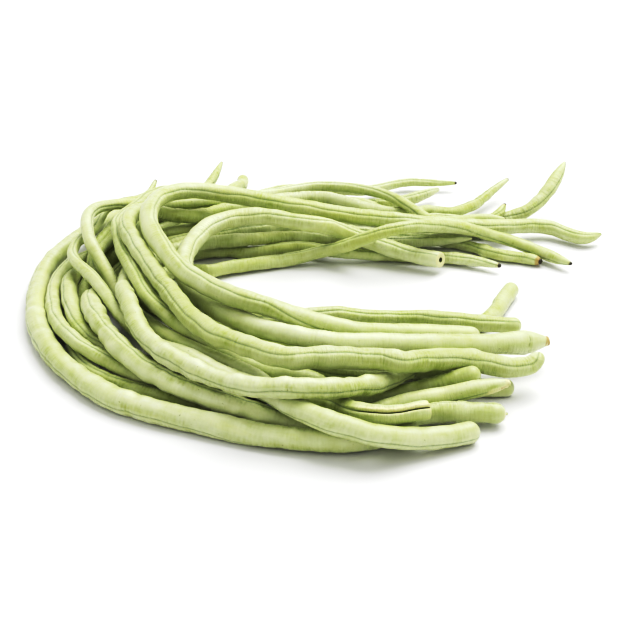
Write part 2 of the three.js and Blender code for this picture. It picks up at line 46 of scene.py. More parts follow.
# The solids, as they are read back.
SOLID_SWELL = 0.045  # their own even swellings, taken off before the finer ones go on
SOLID_PITCH = 21 * MM
SOLID_SHOULDER = 13 * MM  # they thin towards their ends over these lengths
SOLID_BEAK = 28 * MM
SOLID_COLUMNS = 8  # points in a ring, and so the neighbours of an end point
KNOT_GAP = 8 * MM  # rings that lie closer than this to the one before don't steer the middle line

# The grid of a skin.
SPACING = 0.9 * MM  # between two rings
SLOPE_STEP = 0.5 * MM  # to either side, for the direction of the middle line
COLUMN_ANGLES = (0, 0.045, 0.09, 0.14, 0.2, 0.28, 0.4, 0.57, 0.78, 1.03, 1.3)  # in a quarter, from a seam
BEND = 0.45  # where the bend of the C is, as a share of a pod's length

# The body of a pod.
BODY_GIRTHS = (1.2 * MM, 3.0 * MM)  # the relief fades out below these radii
BODY_ENDS = (3 * MM, 12 * MM)  # and this close to an end
FIRST_SEED = 11 * MM
SEED_GAPS = (9.5 * MM, 15 * MM)
SEED_SIZES = (0.4, 1.5)
SEED_REACH = 4.4 * MM
NO_SEED = 12 * MM  # the length of the tip that holds no seed
LEAN_LENGTHS = (0.05, 0.033, 0.021)
WAIST = 0.03
WAIST_LENGTHS = (0.11, 0.064, 0.037)
OVAL = 0.035
OVAL_LENGTHS = (0.2, 0.13)
DIMPLE_DEPTH = 1.6 * MM  # times the pod's knobs
DIMPLE_LENGTHS = (8 * MM, 11 * MM, 15 * MM, 23 * MM)
CREASE_DEPTH = 1.7 * MM  # times the pod's creases
CREASE_LENGTHS = (2.4 * MM, 3.1 * MM, 3.9 * MM, 5.3 * MM)
CREASE_PATCHES = (0.07, 0.031)
DEEP_CREASES = 0.2  # a pod's creases at which the finish shows its ridges in full
RAGGED_LENGTHS = (2.4 * MM, 1.5 * MM)

# The seam's sway round the pod, each with its angle and wave lengths.
SEAM_SWAYS = ((0.14, (0.16, 0.09)), (0.05, (0.031, 0.019)))
# The seam in profile: humps and grooves, each with its height, its distance from the seam and its width.
SEAM_PROFILE = ((0.09 * MM, 1.7 * MM, 0.8 * MM), (-0.27 * MM, 0, 0.75 * MM), (-0.09 * MM, 0, 0.2 * MM))

# The forms of the ends that are neither a dome nor a taper. The first row is each ring's distance from the
# end in mm, the second its radius as a share of the pod's.
END_FORMS = {
    "cap": (
        (0.9, 0.4, 0, 0.15, 0.6, 1.2, 2.2, 3.2, 4.6, 6.4, 8.4, 10.2, 11.1, 12, 12.9, 14, 17, 21, 26, 32),
        (0, 0.2, 0.3, 0.4, 0.45, 0.49, 0.55, 0.62, 0.72, 0.85)
        + (0.98, 1.05, 1.07, 1.09, 1.12, 1.13, 1.12, 1.1, 1.05, 1),
    ),
    "blade": (
        (0.8, 0.2, 0, 0.5, 1.4, 2.6, 4.2, 6.5, 9.5, 13, 17, 21, 25),
        (0, 0.16, 0.26, 0.34, 0.4, 0.5, 0.62, 0.78, 0.94, 1.05, 1.09, 1.05, 1),
    ),
    "split": (
        (3.5, 3.0, 1.5, 0.3, 0, 0.25, 0.9, 2.2, 4),
        (0, 0.3, 0.62, 0.7, 0.78, 0.88, 0.94, 0.98, 1),
    ),
    "cut": (
        (4.5, 4.2, 3, 1.5, 0.5, 0.1, 0, 0.15, 0.6, 1.6, 3),
        (0, 0.2, 0.24, 0.26, 0.28, 0.36, 0.62, 0.86, 0.95, 0.98, 1),
    ),
}
NUB_FORM = ((0, 0.15, 0.6, 1.2), (0, 0.55, 0.7, 0.95))  # distances and radii, both in mm
NUB_STRETCH = 1.4  # of the dome behind the nub
TIP_POWER = 0.8
BLUNT_POWER = 0.55
CURL_LENGTH = 10 * MM  # the part of the curled pod that turns up and back
CURL_ANGLE = np.radians(95)
CURL_SHARE = 0.74  # its radius at the very end
SPLIT_LENGTH = 42 * MM
CUT_SLANT = 2.2 * MM
CUT_FACES = np.radians(-62)  # the side to which the cut slants

# Each pod's own looks.
# ends: the forms of its stalk end and its tip.
# seam: the angle from straight up towards the outside of the C at which the seam runs, in degrees, at the
# stalk end, the bend and the tip.
# knobs: how far the seeds swell the pod, as a share of its radius.
# creases: how deep the cross creases are: none at 0, deep at 0.2.
# tone: pale at 1, deep green at 0.
# point: the length over which the tip thins, in mm, its width at the very end as a share, and how black
# it is there.
LOOKS = {
    "pod_top": dict(
        ends=("round", "tip"), seam=(150, -60, -40), point=(15, 0.26, 0.1),
        knobs=0.04, creases=0.07, tone=0.5),
    "pod_pale": dict(
        ends=("cap", "cut"), seam=(-50, -58, -30), point=(8, 0.9, 0),
        knobs=0.06, creases=0.08, tone=0.75),
    "pod_curled": dict(
        ends=("curl", "tip"), seam=(52, 42, 20), point=(30, 0.4, 1),
        knobs=0.085, creases=0.2, tone=0.5),
    "pod_slim_left": dict(
        ends=("round", "tip"), seam=(-60, 10, -30), point=(28, 0.36, 1),
        knobs=0.065, creases=0.13, tone=0.4),
    "pod_arch": dict(
        ends=("blade", "tip"), seam=(110, 140, -120), point=(16, 0.42, 1),
        knobs=0.035, creases=0.07, tone=0.65),
    "pod_thin": dict(
        ends=("round", "tip"), seam=(-80, -70, 30), point=(24, 0.45, 0.8),
        knobs=0.05, creases=0.08, tone=0.6),
    "pod_seamed": dict(
        ends=("round", "tip"), seam=(88, 84, -30), point=(22, 0.26, 0.1),
        knobs=0.125, creases=0.22, tone=0.75),
    "pod_knobbly": dict(
        ends=("nub", "blunt"), seam=(0, 8, -60), point=(7, 0.5, 1.4),
        knobs=0.15, creases=0.19, tone=0.65),
    "pod_split": dict(
        ends=("split", "tip"), seam=(48, 30, -40), point=(12, 0.3, 1.2),
        knobs=0.1, creases=0.16, tone=0.55),
    "pod_raised_tip": dict(
        ends=("round", "tip"), seam=(-20, 20, -70), point=(19, 0.2, 0.1),
        knobs=0.085, creases=0.14, tone=0.6),
    "pod_outer": dict(
        ends=("round", "tip"), seam=(150, 58, -30), point=(18, 0.4, 0),
        knobs=0.105, creases=0.2, tone=0.75),
    "pod_shaded": dict(
        ends=("nub", "round"), seam=(-30, 40, 60), point=(8, 0.9, 0),
        knobs=0.08, creases=0.16, tone=0.4),
    "pod_inner": dict(
        ends=("round", "tip"), seam=(30, 60, -130), point=(17, 0.28, 1),
        knobs=0.06, creases=0.1, tone=0.45),
    "pod_back_end": dict(
        ends=("round", "tip"), seam=(-70, 60, -60), point=(22, 0.36, 1.3),
        knobs=0.08, creases=0.12, tone=0.55),
    "pod_deep": dict(
        ends=("round", "tip"), seam=(60, 40, -80), point=(26, 0.3, 0.7),
        knobs=0.05, creases=0.13, tone=0.35),
    "pod_middle": dict(
        ends=("nub", "blunt"), seam=(30, 40, 30), point=(7, 0.6, 0.3),
        knobs=0.06, creases=0.15, tone=0.45),
    "pod_under": dict(
        ends=("round", "tip"), seam=(80, 30, 40), point=(22, 0.4, 1),
        knobs=0.06, creases=0.13, tone=0.4),
}
FIRST_DRAW = 100  # the first pod's random draws start from this number, the next pod's from the next

# The colours of the skin.
DEEP_GREEN = (0.34, 0.405, 0.08)
PALE_GREEN = (0.69, 0.725, 0.50)
YELLOW_PATCH = (0.60, 0.62, 0.22)
SEAM_LINE = (0.21, 0.28, 0.14)
SEAM_RIM = (0.70, 0.76, 0.46)
SPECK = (0.19, 0.20, 0.06)
SCUFF = (0.24, 0.19, 0.07)
DRY_CREAM = (0.70, 0.68, 0.38)
DRY_BROWN = (0.40, 0.27, 0.10)
DRY_BLACK = (0.03, 0.026, 0.016)
HOLLOW_SHADE = (0.05, 0.06, 0.014)
TABLE_WHITE = (0.8, 0.8, 0.81)

# The patterns of the skin: how fast each changes along the pod and across it, per mm, where it starts, how
# many layers of finer noise it has and how strong they are.
PATTERNS = {
    "drift": ((0.012, 0.09, 0.09), (0, 0, 0), 3, 0.5),
    "mottle": ((0.18, 0.3, 0.3), (0, 0, 0), 4, 0.6),
    "streaks": ((0.05, 0.9, 0.9), (3, 9, 4), 3, 0.5),
    "cross": ((1.1, 0.22, 0.22), (0, 0, 0), 4, 0.6),
    "yellow": ((0.03, 0.12, 0.12), (5, 1, 8), 3, 0.5),
    "broken": ((0.35, 0.2, 0.2), (1, 6, 2), 3, 0.6),
    "specks": ((0.55, 0.55, 0.55), (7, 3, 1), 2, 0.5),
    "scuffs": ((0.07, 0.2, 0.2), (2, 7, 5), 5, 0.7),
    "ridges": ((0.75, 0.11, 0.11), (0, 0, 0), 4, 0.6),
    "pores": ((2.2, 2.2, 2.2), (0, 0, 0), 3, 0.6),
}

SKIN_SURFACE = {
    "Subsurface Weight": 0.1,
    "Subsurface Radius": (0.8, 1.0, 0.25),
    "Subsurface Scale": 1.6 * MM,
    "Specular IOR Level": 0.45,
    "Coat Weight": 0.2,
    "Coat Roughness": 0.3,
    "Sheen Weight": 0.12,
    "Sheen Roughness": 0.5,
}
TABLE_SURFACE = {"Base Color": (*TABLE_WHITE, 1), "Roughness": 0.55, "Specular IOR Level": 0.2}
RIDGE_DEPTH = 1.6 * MM
PORE_DEPTH = 0.14 * MM

# The table, the light and the view: the eye stands over the table in front and looks down at the bunch.
TABLE_HALF = 4.0
TABLE_DROP = 0.2 * MM
LIGHT_PLACE = (0.45, 0.6, 1.6)
LIGHT_WIDTH = 1.5
LIGHT_WATTS = 33
ROOM_LIGHT = 0.72
TONES = ((0.14, 0.06), (0.38, 0.385), (0.6, 0.69), (0.85, 0.89))  # brightness before and after the S-curve
EYE = (-7.682 * MM, -656.287 * MM, 342.71 * MM)
LOOKING_DOWN = np.radians(28)
LENS = 80
SENSOR = 36


# Curves that the shapes below are made of.
def hump(x, centre, width):
    """A smooth hump, 1 at its centre: exp of minus the square of the distance over the width."""
    return np.exp(-(((x - centre) / width) ** 2))


def ramp(x, low, high):
    """0 below low and 1 above high, with a smooth S between: t squared times (3 - 2t)."""
    t = np.clip((x - low) / (high - low), 0, 1)
    return t * t * (3 - 2 * t)


def waves(x, lengths, draw):
    """Irregular waving between about -1 and 1: the mean of sines of these wave lengths, at drawn phases."""
    phase = draw.uniform(0, 2 * np.pi, (len(lengths),) + (1,) * np.ndim(x))
    length = np.reshape(lengths, phase.shape)
    return np.sin(2 * np.pi * x / length + phase).mean(axis=0) * 1.6


def dimples(along, round_it, lengths, draw):
    """Uneven rises and hollows over the skin: the mean of sines that run along the pod at these wave lengths
    while each winds round it a drawn whole number of times."""
    winds = draw.integers(-3, 4, (len(lengths), 1, 1))
    phase = draw.uniform(0, 2 * np.pi, (len(lengths), 1, 1))
    length = np.reshape(lengths, (-1, 1, 1))
    return np.sin(2 * np.pi * along / length + winds * round_it + phase).mean(axis=0) * 1.6


# A pod's middle line and girth, read from its solid.
def solid_rings(node):
    """The middles and radii of a solid pod's rings, from its stalk end to its tip.

    Its end points are the only points with as many neighbours as a ring has points. Ring k is made of the
    points that are k edges away from one end point. A ring's middle is the mean of its points, and its radius
    is their mean distance from it.
    """
    mesh = node.data
    corner = np.empty(len(mesh.vertices) * 3)
    mesh.vertices.foreach_get("co", corner)
    flat = np.empty(len(mesh.loops), int)
    mesh.loops.foreach_get("vertex_index", flat)
    points, same = np.unique(corner.reshape(-1, 3).round(5), axis=0, return_inverse=True)
    faces = same.ravel()[flat].reshape(-1, 3)
    edges = np.unique(np.sort(faces[:, [0, 1, 1, 2, 2, 0]].reshape(-1, 2), axis=1), axis=0)
    edges = np.concatenate([edges, edges[:, ::-1]])
    neighbours = np.bincount(edges[:, 0])
    ends = np.nonzero(neighbours == SOLID_COLUMNS)[0]
    start = ends[np.argmin(points[ends, 1])]
    layer = np.full(len(points), -1)
    layer[start] = 0
    depth = 0
    while (layer < 0).any():
        reached = edges[layer[edges[:, 0]] == depth, 1]
        depth += 1
        layer[reached[layer[reached] < 0]] = depth
    count = np.bincount(layer)
    middles = np.stack([np.bincount(layer, points[:, k]) / count for k in range(3)], axis=1)
    spread = np.linalg.norm(points - middles[layer], axis=1)
    return middles, np.bincount(layer, spread) / count


def smooth_line(knots, values, at):
    """Values on a smooth curve through the knots: between two knots runs the cubic whose slope at a knot is
    the slope from the knot before to the knot after."""
    slope = np.gradient(values, knots, axis=0)
    i = np.clip(np.searchsorted(knots, at, side="right") - 1, 0, len(knots) - 2)
    span = (knots[i + 1] - knots[i])[:, None]
    t = (at - knots[i])[:, None] / span
    return (
        (2 * t**3 - 3 * t**2 + 1) * values[i]
        + (t**3 - 2 * t**2 + t) * span * slope[i]
        + (3 * t**2 - 2 * t**3) * values[i + 1]
        + (t**3 - t**2) * span * slope[i + 1]
    )


def middle_line(knots, middles, at, curled):
    """Points of a pod's middle line at distances from its stalk end. A curled end leaves the line along the
    line's own direction and bends up and back in an arc."""
    at = np.clip(at, 0, knots[-1])
    line = smooth_line(knots, middles, at)
    if not curled:
        return line
    start, before = smooth_line(knots, middles, np.array([CURL_LENGTH, CURL_LENGTH + MM]))
    ahead = (start - before) / np.linalg.norm(start - before)
    level = np.cross(ahead, [0, 0, 1.0])
    lift = np.cross(level / np.linalg.norm(level), ahead)
    radius = CURL_LENGTH / CURL_ANGLE
    angle = (CURL_LENGTH - at)[:, None] / radius
    arc = start + radius * (np.sin(angle) * ahead + (1 - np.cos(angle)) * lift)
    return np.where(angle > 0, arc, line)


# The forms of the two ends: distance from the end and radius of each ring, from the end point on.
def dome(radius):
    """A rounded end: a quarter of an ellipse, a little shorter than its radius."""
    q = np.linspace(0, np.pi / 2, 9)
    return 0.95 * radius * (1 - np.cos(q)), radius * np.sin(q)


def narrowed(radius, share, length, power):
    """An end that starts as a small dome of this share of the radius and swells to the full radius over a
    length, as a power of a quarter sine."""
    width = share * radius
    s, r = dome(width)
    k = np.linspace(0, 1, 24)[1:]
    body = width + (radius - width) * np.sin(k * np.pi / 2) ** power
    return np.append(s, s[-1] + length * k), np.append(r, body)


def with_nub(radius):
    """A rounded end with the small stub of its stalk on it."""
    nub, rim = np.array(NUB_FORM) * MM
    s, r = dome(radius - rim[-1])
    return np.append(nub, nub[-1] + NUB_STRETCH * s[1:]), np.append(rim, rim[-1] + r[1:])


def end_rings(kind, radius, point):
    """The rings that close an end of this kind."""
    if kind in END_FORMS:
        distances, shares = END_FORMS[kind]
        return np.array(distances) * MM, np.array(shares) * radius
    if kind == "round":
        return dome(radius)
    if kind == "nub":
        return with_nub(radius)
    if kind == "curl":
        return narrowed(radius, CURL_SHARE, CURL_LENGTH, 1)
    length, share, _ = point
    return narrowed(radius, share, length * MM, TIP_POWER if kind == "tip" else BLUNT_POWER)


# The skin of one pod.
def columns():
    """Angles of the skin's columns, measured round the pod from its seam and crowded at both seams."""
    quarter = np.array(COLUMN_ANGLES)
    half = np.concatenate([quarter, [np.pi / 2], np.pi - quarter[::-1]])
    return np.concatenate([half[:-1], half[:-1] + np.pi])


class PodSkin:
    """One pod's skin as a grid: rings along its middle line, columns round it, a point at each end.

    A ring's radius is the pod's girth there, times the swelling over each seed, plus the relief of the seams,
    the creases and the dimples, and at the ends the forms there. A point stands at its ring's middle plus the
    radius times the spoke at its angle. Angles count from straight up, positive towards the outside of the C.
    """

    def __init__(self, node, looks, draw):
        self.looks = looks
        self.draw = draw
        self.first, self.last = looks["ends"]
        self.blackness = looks["point"][2]
        self.lay_rings(node)
        self.lay_columns()
        self.shape_body()
        self.shape_ends()

    def lay_rings(self, node):
        """The rings: their distances s from the stalk end, girths and middles, and the directions along the
        pod, out of the C and up. A girth is the solid's own, freed from its swellings, or the end form's."""
        middles, radii = solid_rings(node)
        steps = np.linalg.norm(np.diff(middles, axis=0), axis=1)
        along = np.concatenate([[0], np.cumsum(steps)])
        self.length = length = along[-1]
        apart = np.diff(along, prepend=-1) > KNOT_GAP
        apart[[0, -1]] = True
        apart[-2] = apart[-2] and length - along[-2] > KNOT_GAP
        body = (along > SOLID_SHOULDER) & (along < length - SOLID_BEAK)
        bare = radii[body] / (1 + SOLID_SWELL * np.cos(2 * np.pi * along[body] / SOLID_PITCH))
        start_s, start_r = end_rings(self.first, bare[0], self.looks["point"])
        end_s, end_r = end_rings(self.last, bare[-1], self.looks["point"])
        inner = np.arange(start_s.max() + SPACING, length - end_s.max() - SPACING / 2, SPACING)
        s = np.concatenate([start_s, inner, (length - end_s)[::-1]])
        girth = np.interp(s, along[body], bare)
        girth[: len(start_s)] = start_r
        girth[len(s) - len(end_s):] = end_r[::-1]

        curled = self.first == "curl"
        line = (along[apart], middles[apart])
        self.centre = middle_line(*line, s, curled)
        tangent = middle_line(*line, s + SLOPE_STEP, curled) - middle_line(*line, s - SLOPE_STEP, curled)
        tangent /= np.linalg.norm(tangent, axis=1, keepdims=True)
        level = tangent.copy()
        if curled:
            level[s < CURL_LENGTH] = tangent[np.argmax(s >= CURL_LENGTH)]
        out = np.cross([0, 0, 1.0], level)
        out /= np.linalg.norm(out, axis=1, keepdims=True)
        self.tangent = tangent
        self.out = out
        self.up = np.cross(tangent, out)
        self.s = s[:, None]
        self.girth = girth[:, None]

    def lay_columns(self):
        """The columns: their angles a from the seam and from straight up, and their distances from the seam,
        signed, and from the nearer of the two seams. The seam's own angle slides along the pod from its value
        at the stalk end through the bend to the tip, and sways."""
        a = columns()[None, :]
        seam = np.interp(self.s / self.length, [0, BEND, 1], np.radians(self.looks["seam"]))
        for sway, lengths in SEAM_SWAYS:
            seam = seam + sway * waves(self.s, lengths, self.draw)
        turn = (a + np.pi) % (2 * np.pi) - np.pi
        self.a = a
        self.angle = seam + a
        self.across = self.girth * turn
        self.side = self.girth * np.minimum(np.abs(turn), np.abs(a - np.pi))
        self.ones = np.ones_like(self.side)
        self.to_tip = (self.length - self.s) * self.ones

    def seed_swelling(self):
        """A hump over each seed, at drawn places and of drawn sizes, about a mean of 0. It is highest on the
        flanks, a quarter turn from the seams, and leans to one flank and then the other."""
        count = int(self.length / SEED_GAPS[0])
        seeds = FIRST_SEED + np.cumsum(self.draw.uniform(*SEED_GAPS, count))
        seeds = seeds[seeds < self.length - NO_SEED]
        sizes = self.draw.uniform(*SEED_SIZES, len(seeds))
        swell = (hump(self.s, seeds, SEED_REACH) * sizes).sum(axis=1, keepdims=True)
        lean = waves(self.s, LEAN_LENGTHS, self.draw)
        flank = np.sin(self.a)
        return (swell - swell.mean()) * (0.3 + 0.7 * flank**2 + 0.45 * lean * flank)

    def shape_body(self):
        """The radius over the body: the girth, times the seeds, a waving girth and a turning oval, plus the
        seams, the cross creases, deepest beside the seams, and the dimples. All of it fades at the ends."""
        s, a, side, draw, looks = self.s, self.a, self.side, self.draw, self.looks
        full = ramp(self.girth, *BODY_GIRTHS) * ramp(s, *BODY_ENDS) * ramp(self.length - s, *BODY_ENDS)
        swell = self.seed_swelling()
        waist = WAIST * waves(s, WAIST_LENGTHS, draw)
        oval = OVAL * np.cos(2 * a + 2.2 * waves(s, OVAL_LENGTHS, draw))
        seam = sum(height * hump(side, away, width) for height, away, width in SEAM_PROFILE)
        creases = np.abs(dimples(s, a, CREASE_LENGTHS, draw))
        creases = creases * (0.3 + 0.7 * hump(side, 2.0 * MM, 2.0 * MM))
        creases = creases * (0.6 + 0.5 * waves(s + 7 * MM * np.sin(a), CREASE_PATCHES, draw))
        uneven = dimples(s, a, DIMPLE_LENGTHS, draw)
        radius = self.girth * (1 + full * (looks["knobs"] * swell + waist + oval))
        radius = radius + full * (seam - CREASE_DEPTH * looks["creases"] * creases)
        self.radius = radius + full * DIMPLE_DEPTH * looks["knobs"] * uneven
        # The rise and the crease also colour the skin in the finish: a painted highlight on the rises and
        # painted shade in the creases.
        self.rise = full * (12 * looks["knobs"] * swell + 0.4 * uneven)
        self.crease = full * creases
        self.creased = full * looks["creases"] * self.ones / DEEP_CREASES

    def shape_ends(self):
        """The forms at the two ends, what has dried there, and the painted shade that darkens their grooves
        and openings. Both end rings have no radius, which closes the skin."""
        self.hollow = np.zeros_like(self.side)
        self.cream = np.zeros_like(self.side)
        self.black = self.blackness * ramp(self.to_tip, 2.6 * MM, 0.3 * MM)
        self.brown = 0.5 * self.blackness * ramp(self.to_tip, 5 * MM, 1 * MM)
        self.ragged = dimples(self.s, self.a, RAGGED_LENGTHS, self.draw)
        if self.first == "cap":
            self.dry_cap()
        if self.first == "nub":
            self.cream += 0.7 * hump(self.s, 1.2 * MM, 1.0 * MM)
        if self.first == "blade":
            self.fray()
        if self.first == "split":
            self.split_open()
        if self.last == "cut":
            # Painted shade: the cut face is painted near black as if the pod stood open there, with a cream
            # rim.
            self.hollow[-5:] = 1
            self.cream[-8:-5] = 1
        if self.last == "blunt":
            self.brown += 0.4 * self.blackness * ramp(self.to_tip, 6 * MM, 2 * MM)
        self.radius = np.maximum(self.radius, 0)
        self.radius[[0, -1]] = 0

    def dry_cap(self):
        """A ragged dry cap, and behind it a fold that runs half round the pod: a groove with a bulge beside
        it, both waving towards the cap and away from it."""
        s = self.s
        facing = np.cos(self.a - 1.95)
        groove = 11.2 * MM + 1.8 * MM * facing + 0.7 * MM * np.sin(3 * self.a)
        bulge = 13.2 * MM + 1.6 * MM * facing
        fold = hump(s, groove, 0.5 * MM) * ramp(facing, -0.1, 0.9)
        self.radius *= 1 + 0.16 * ramp(s, 3 * MM, 0.2 * MM) * self.ragged
        self.radius -= 0.9 * MM * fold
        self.radius += 0.35 * MM * hump(s, bulge, 1.6 * MM) * ramp(facing, -0.5, 0.4)
        self.cream += 0.9 * ramp(s, 4.5 * MM, 1.0 * MM)
        self.brown += (0.62 + 0.3 * self.ragged) * ramp(s - 1.5 * MM * facing, 4.4 * MM, 0.4 * MM)
        # Painted shade along the fold's groove.
        self.hollow += 0.62 * fold

    def fray(self):
        """A ragged end whose lower side has dried pale, with a brown patch."""
        s = self.s
        low = ramp(np.cos(self.angle - np.radians(125)), 0.5, 0.95)
        self.radius *= 1 + 0.3 * ramp(s, 3.4 * MM, 0.2 * MM) * self.ragged
        self.cream += low * ramp(s, 15 * MM, 9 * MM) + ramp(s, 4 * MM, 1 * MM)
        self.brown += 0.6 * low * hump(s, 4 * MM, 3 * MM)

    def split_open(self):
        """An end that has split along its seam: a deep groove on the seam, a scalloped pale lip beside it, a
        hollow behind the lip, and a pale edge on the other side. It closes again along the pod."""
        s, across = self.s, self.across
        opened = ramp(s, SPLIT_LENGTH, 0.5 * SPLIT_LENGTH)
        phase = 2 * waves(s, (0.011, 0.017), self.draw)
        scallop = 1 + 0.5 * np.sin(2 * np.pi * s / (3.4 * MM) + phase)
        inside = ramp(across, 0.2 * MM, -0.8 * MM) * ramp(across, -5 * MM, -2.5 * MM)
        self.radius -= 2.0 * MM * opened * hump(across, 0, 0.5 * MM)
        self.radius += 0.5 * MM * opened * scallop * hump(across, -1.4 * MM, 0.7 * MM)
        self.radius -= 0.7 * MM * opened * hump(across, -3.0 * MM, 1.0 * MM)
        self.cream += 0.9 * opened * inside
        self.cream += 0.5 * opened * hump(across, 1.2 * MM, 0.8 * MM) + 0.5 * ramp(s, 3 * MM, 0)
        # Painted shade: the groove on the seam and the open end are painted near black.
        self.hollow += 1.3 * opened * hump(across, 0, 0.34 * MM)
        self.hollow[:3] = 1

    def places(self):
        """The points of the grid. A cut end is sheared along the pod, and nothing goes below the table."""
        angle = self.angle[..., None]
        spoke = np.cos(angle) * self.up[:, None] + np.sin(angle) * self.out[:, None]
        place = self.centre[:, None] + self.radius[..., None] * spoke
        if self.last == "cut":
            slant = CUT_SLANT * np.cos(self.angle - CUT_FACES) * ramp(self.to_tip, 9 * MM, 2 * MM)
            place = place - (slant * self.radius / self.girth.max())[..., None] * self.tangent[:, None]
        place[..., 2] = np.maximum(place[..., 2], 0)
        return place

    def attributes(self):
        """What the finish reads at each point: its place in mm on the pod laid out straight, its distance
        from a seam with its rise and the pod's tone, how dry it is, and how hollow and creased. The rise is
        painted paler as a painted highlight, and the hollows and creases are darkened as painted shade."""
        s = self.s * self.ones
        straight = np.stack([s, self.girth * np.cos(self.a), self.girth * np.sin(self.a)], axis=-1) / MM
        seam_tone_and_highlight = np.stack([self.side / MM, self.rise, self.looks["tone"] * self.ones], axis=-1)
        dry = np.stack([self.brown, self.black, self.cream], axis=-1)
        painted_shade_creases = np.stack([self.hollow, self.crease, self.creased], axis=-1)
        return dict(straight=straight, seam_tone_and_highlight=seam_tone_and_highlight, dry=dry, painted_shade_creases=painted_shade_creases)


def closed(grid):
    """The points of a grid in one row, where the first and the last ring are each one point, their mean."""
    return np.concatenate([grid[0].mean(0)[None], grid[1:-1].reshape(-1, 3), grid[-1].mean(0)[None]])


def grid_mesh(name, place, attributes):
    """A closed mesh from a grid of points, rings by columns, with a fan of triangles at each end."""
    rings, around, _ = place.shape
    points = closed(place)
    index = 1 + np.arange((rings - 2) * around).reshape(rings - 2, around)
    nxt = np.roll(index, -1, axis=1)
    quads = np.stack([index[:-1], index[1:], nxt[1:], nxt[:-1]], axis=-1).reshape(-1, 4)
    head = np.stack([np.zeros(around, int), index[0], nxt[0]], axis=-1)
    tail = np.stack([np.full(around, len(points) - 1), nxt[-1], index[-1]], axis=-1)
    mesh = bpy.data.meshes.new(name)
    mesh.from_pydata(points.tolist(), [], head.tolist() + quads.tolist() + tail.tolist())
    for label, grid in attributes.items():
        layer = mesh.attributes.new(label, "FLOAT_VECTOR", "POINT")
        layer.data.foreach_set("vector", closed(grid).astype(np.float32).ravel())
    mesh.polygons.foreach_set("use_smooth", np.ones(len(mesh.polygons), bool))
    mesh.update()
    return mesh


# Finishes.
class Finish:
    """A node material under way: each call adds one node and gives its output."""

    def __init__(self, name, surface):
        self.material = bpy.data.materials.new(name)
        self.material.use_nodes = True
        self.nodes = self.material.node_tree.nodes
        self.links = self.material.node_tree.links
        self.shader = self.nodes["Principled BSDF"]
        for label, value in surface.items():
            self.shader.inputs[label].default_value = value

    def put(self, socket, value):
        if isinstance(value, bpy.types.NodeSocket):
            self.links.new(value, socket)
        else:
            socket.default_value = value

    def attribute(self, name):
        """A vector stored on the mesh, whole and as its three parts."""
        node = self.nodes.new("ShaderNodeAttribute")
        node.attribute_name = name
        split = self.nodes.new("ShaderNodeSeparateXYZ")
        self.links.new(node.outputs["Vector"], split.inputs[0])
        return node.outputs["Vector"], split.outputs

    def sum(self, how, a, b=0.0, c=0.0):
        node = self.nodes.new("ShaderNodeMath")
        node.operation = how
        for socket, value in zip(node.inputs, (a, b, c)):
            self.put(socket, value)
        return node.outputs[0]

    def add(self, a, b, times=1.0):
        return self.sum("MULTIPLY_ADD", b, times, a)

    def between(self, value, low, high, to_low=0.0, to_high=1.0):
        """A smooth step from one value to another as the input goes from low to high."""
        node = self.nodes.new("ShaderNodeMapRange")
        node.interpolation_type = "SMOOTHSTEP"
        labels = ("Value", "From Min", "From Max", "To Min", "To Max")
        for label, v in zip(labels, (value, low, high, to_low, to_high)):
            self.put(node.inputs[label], v)
        return node.outputs[0]

    def pattern(self, vector, name):
        """One of the skin's patterns of noise, about 0."""
        stretch, start, detail, roughness = PATTERNS[name]
        place = self.nodes.new("ShaderNodeMapping")
        self.put(place.inputs["Vector"], vector)
        place.inputs["Scale"].default_value = stretch
        place.inputs["Location"].default_value = start
        noise = self.nodes.new("ShaderNodeTexNoise")
        self.put(noise.inputs["Vector"], place.outputs[0])
        noise.inputs["Scale"].default_value = 1.0
        noise.inputs["Detail"].default_value = detail
        noise.inputs["Roughness"].default_value = roughness
        return self.sum("SUBTRACT", noise.outputs["Fac"], 0.5)

    def blend(self, share, a, b):
        node = self.nodes.new("ShaderNodeMix")
        node.data_type = "RGBA"
        self.put(node.inputs[0], share)
        for socket, value in ((node.inputs[6], a), (node.inputs[7], b)):
            self.put(socket, value if isinstance(value, bpy.types.NodeSocket) else (*value, 1))
        return node.outputs[2]

    def relief(self, height, distance, strength=1.0, under=None):
        node = self.nodes.new("ShaderNodeBump")
        self.put(node.inputs["Height"], height)
        node.inputs["Distance"].default_value = distance
        node.inputs["Strength"].default_value = strength
        if under is not None:
            self.links.new(under, node.inputs["Normal"])
        return node.outputs[0]


